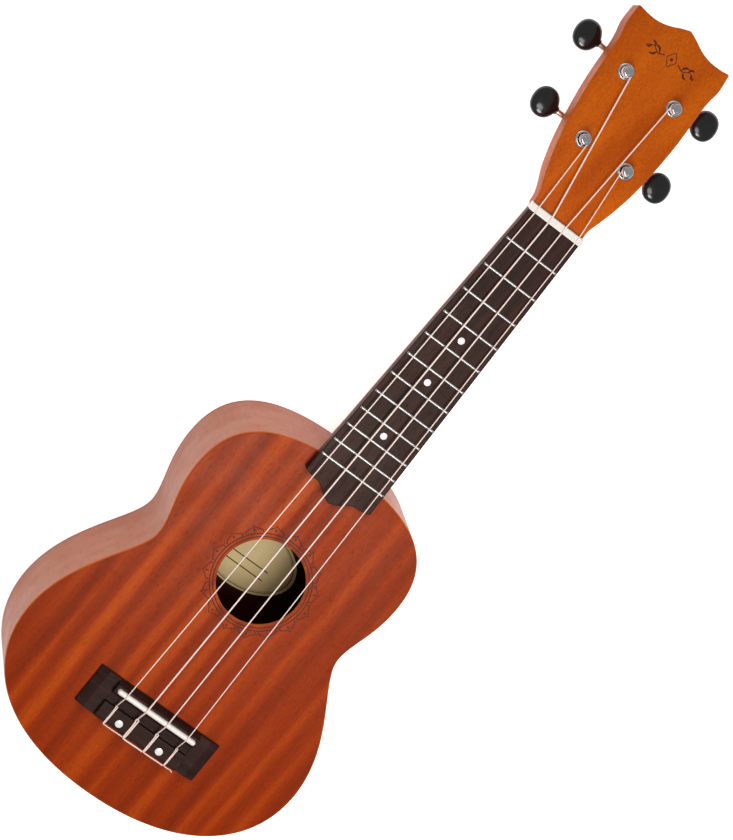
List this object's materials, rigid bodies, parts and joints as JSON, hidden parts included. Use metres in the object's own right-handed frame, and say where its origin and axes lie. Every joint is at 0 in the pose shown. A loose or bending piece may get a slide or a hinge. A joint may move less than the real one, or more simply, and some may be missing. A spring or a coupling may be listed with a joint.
{
  "type": "soprano ukulele",
  "caption": "Small plucked lute with a waisted box body, fretted neck, tie bridge and tilted headstock with geared tuners.",
  "frame": {"origin": "middle of the body's length and width, on the outer face of the back, on which it lies", "axes": "+Z out of the back through the soundboard, +Y along the strings towards the headstock, +X to the treble side"},
  "size_m": [0.186, 0.53, 0.0696],
  "materials": {
    "body_wood": "satin",
    "inner_wood": "matte",
    "label_paper": "matte",
    "neck_wood": "satin",
    "fretboard_wood": "satin",
    "fret_wire": "polished",
    "marker_pearl": "gloss",
    "nut_bone": "satin",
    "bridge_wood": "satin",
    "string_fluorocarbon": "satin",
    "tuner_chrome": "polished",
    "tuner_steel": "polished",
    "knob_plastic": "gloss"
  },
  "bodies": {
    "root": {"soundboard": "body_wood", "back": "body_wood", "side_bass": "body_wood", "side_treble": "body_wood", "neck_block": "inner_wood", "tail_block": "inner_wood", "bridge_plate": "inner_wood", "lining_top_bass": "inner_wood", "lining_top_treble": "inner_wood", "lining_back_bass": "inner_wood", "lining_back_treble": "inner_wood", "top_brace_upper": "inner_wood", "top_brace_lower": "inner_wood", "back_brace_upper": "inner_wood", "back_brace_lower": "inner_wood", "label": "label_paper", "neck": "neck_wood", "fretboard": "fretboard_wood", "fret_01": "fret_wire", "fret_02": "fret_wire", "fret_03": "fret_wire", "fret_04": "fret_wire", "fret_05": "fret_wire", "fret_06": "fret_wire", "fret_07": "fret_wire", "fret_08": "fret_wire", "fret_09": "fret_wire", "fret_10": "fret_wire", "fret_11": "fret_wire", "fret_12": "fret_wire", "fret_dot_05": "marker_pearl", "fret_dot_07": "marker_pearl", "fret_dot_10": "marker_pearl", "nut": "nut_bone", "saddle": "nut_bone", "bridge": "bridge_wood", "string_g": "string_fluorocarbon", "string_c": "string_fluorocarbon", "string_e": "string_fluorocarbon", "string_a": "string_fluorocarbon", "tuner_plate_bass_lower": "tuner_chrome", "ferrule_bass_lower": "tuner_chrome", "tuner_plate_bass_upper": "tuner_chrome", "ferrule_bass_upper": "tuner_chrome", "tuner_plate_treble_lower": "tuner_chrome", "ferrule_treble_lower": "tuner_chrome", "tuner_plate_treble_upper": "tuner_chrome", "ferrule_treble_upper": "tuner_chrome"},
    "knob_turn_bass_lower": {"worm_shaft_bass_lower": "tuner_steel", "knob_bass_lower": "knob_plastic"},
    "post_turn_bass_lower": {"post_bass_lower": "tuner_chrome"},
    "knob_turn_bass_upper": {"worm_shaft_bass_upper": "tuner_steel", "knob_bass_upper": "knob_plastic"},
    "post_turn_bass_upper": {"post_bass_upper": "tuner_chrome"},
    "knob_turn_treble_lower": {"worm_shaft_treble_lower": "tuner_steel", "knob_treble_lower": "knob_plastic"},
    "post_turn_treble_lower": {"post_treble_lower": "tuner_chrome"},
    "knob_turn_treble_upper": {"worm_shaft_treble_upper": "tuner_steel", "knob_treble_upper": "knob_plastic"},
    "post_turn_treble_upper": {"post_treble_upper": "tuner_chrome"}
  },
  "joints": [
    {"name": "knob_spin_bass_lower", "type": "hinge", "parent": "root", "child": "knob_turn_bass_lower", "pos_m": [-0.0148, 0.33602, 0.03216], "axis": [-1, 0, 0], "continuous": true},
    {"name": "post_spin_bass_lower", "type": "hinge", "parent": "root", "child": "post_turn_bass_lower", "pos_m": [-0.0148, 0.33444, 0.0504], "axis": [0, 0.2588, 0.9659], "continuous": true},
    {"name": "knob_spin_bass_upper", "type": "hinge", "parent": "root", "child": "knob_turn_bass_upper", "pos_m": [-0.0169, 0.37737, 0.02109], "axis": [-1, 0, 0], "continuous": true},
    {"name": "post_spin_bass_upper", "type": "hinge", "parent": "root", "child": "post_turn_bass_upper", "pos_m": [-0.0169, 0.37578, 0.03932], "axis": [0, 0.2588, 0.9659], "continuous": true},
    {"name": "knob_spin_treble_lower", "type": "hinge", "parent": "root", "child": "knob_turn_treble_lower", "pos_m": [0.0148, 0.33602, 0.03216], "axis": [1, 0, 0], "continuous": true},
    {"name": "post_spin_treble_lower", "type": "hinge", "parent": "root", "child": "post_turn_treble_lower", "pos_m": [0.0148, 0.33444, 0.0504], "axis": [0, 0.2588, 0.9659], "continuous": true},
    {"name": "knob_spin_treble_upper", "type": "hinge", "parent": "root", "child": "knob_turn_treble_upper", "pos_m": [0.0169, 0.37737, 0.02109], "axis": [1, 0, 0], "continuous": true},
    {"name": "post_spin_treble_upper", "type": "hinge", "parent": "root", "child": "post_turn_treble_upper", "pos_m": [0.0169, 0.37578, 0.03932], "axis": [0, 0.2588, 0.9659], "continuous": true}
  ],
  "couplings": [
    {"joint": "post_spin_bass_lower", "follows": "knob_spin_bass_lower", "ratio": 0.071429},
    {"joint": "post_spin_bass_upper", "follows": "knob_spin_bass_upper", "ratio": 0.071429},
    {"joint": "post_spin_treble_lower", "follows": "knob_spin_treble_lower", "ratio": 0.071429},
    {"joint": "post_spin_treble_upper", "follows": "knob_spin_treble_upper", "ratio": 0.071429}
  ]
}
